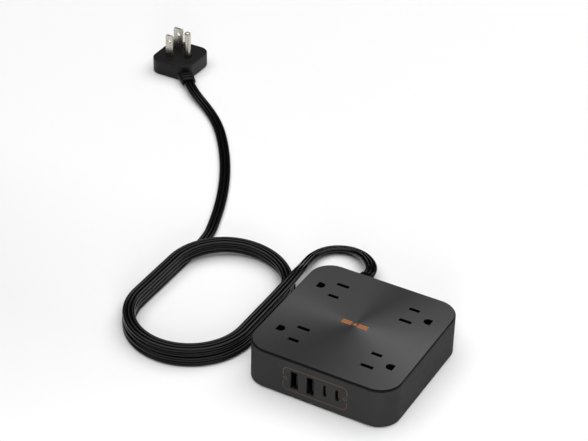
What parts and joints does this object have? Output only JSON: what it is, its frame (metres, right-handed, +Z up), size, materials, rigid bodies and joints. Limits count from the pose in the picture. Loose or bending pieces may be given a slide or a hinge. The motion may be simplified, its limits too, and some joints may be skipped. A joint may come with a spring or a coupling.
{
  "type": "surge protector plug",
  "caption": "Square flat desktop surge protector with widely spaced outlets on top, upright USB ports on its front, and a coiled flat cord ending in a flat angled plug.",
  "frame": {"origin": "centre of the square body's footprint, on the surface it stands on", "axes": "+Z up; the USB ports face -Y; the cord leaves the back wall, which faces +Y; the coil lies towards -X"},
  "size_m": [0.3445, 0.3295, 0.032],
  "materials": {
    "body": "fine matt",
    "cover": "fine matt with a circular spun sheen",
    "mark": "satin ink",
    "trim": "satin copper",
    "inner_plastic": "matt",
    "bar_brass": "satin",
    "port_steel": "satin",
    "usb_a_insert": "matt",
    "usb_c_insert": "matt",
    "board": "satin",
    "component": "gloss",
    "dark_component": "matt",
    "ferrite": "matt",
    "can": "satin",
    "wire": "satin",
    "screw_steel": "bright",
    "foot_rubber": "matt",
    "cord": "satin",
    "plug_plastic": "satin",
    "prong": "nickel-plated, satin"
  },
  "bodies": {
    "root": {"base_shell": "body", "top_cover": "cover", "cover_mark": "mark", "housing_screws": "screw_steel", "rubber_feet": "foot_rubber", "outlet_block_rear_left": "inner_plastic", "outlet_block_front_left": "inner_plastic", "outlet_block_rear_right": "inner_plastic", "outlet_block_front_right": "inner_plastic", "neutral_bus_bar": "bar_brass", "line_bus_bar": "bar_brass", "ground_bus_bar": "bar_brass", "port_panel": "body", "port_trim": "trim", "port_marks": "trim", "usb_a_shell_left": "port_steel", "usb_a_shell_right": "port_steel", "usb_c_shell_left": "port_steel", "usb_c_shell_right": "port_steel", "usb_a_tongue_left": "usb_a_insert", "usb_a_tongue_right": "usb_a_insert", "usb_c_tongue_left": "usb_c_insert", "usb_c_tongue_right": "usb_c_insert", "usb_board": "board", "surge_board": "board", "transformer_core": "ferrite", "transformer_winding": "component", "varistor_line_neutral": "component", "varistor_line_ground": "component", "varistor_neutral_ground": "component", "usb_capacitor": "can", "usb_controller": "dark_component", "thermal_fuse": "dark_component", "usb_c_stand": "dark_component", "filter_capacitor": "component", "wire_terminal": "component", "cord_core_neutral": "wire", "cord_core_ground": "wire", "cord_core_line": "wire", "bar_link_line": "wire", "bar_link_neutral": "wire", "bar_link_ground": "wire", "usb_supply_wires": "wire", "cord_strain_relief": "cord", "power_cord_lead": "cord", "power_cord_coil": "cord", "power_cord_tail": "cord", "plug_body": "plug_plastic", "plug_cap": "plug_plastic", "plug_strain_relief": "plug_plastic", "plug_line_blade": "prong", "plug_neutral_blade": "prong", "plug_ground_pin": "prong"}
  },
  "joints": []
}
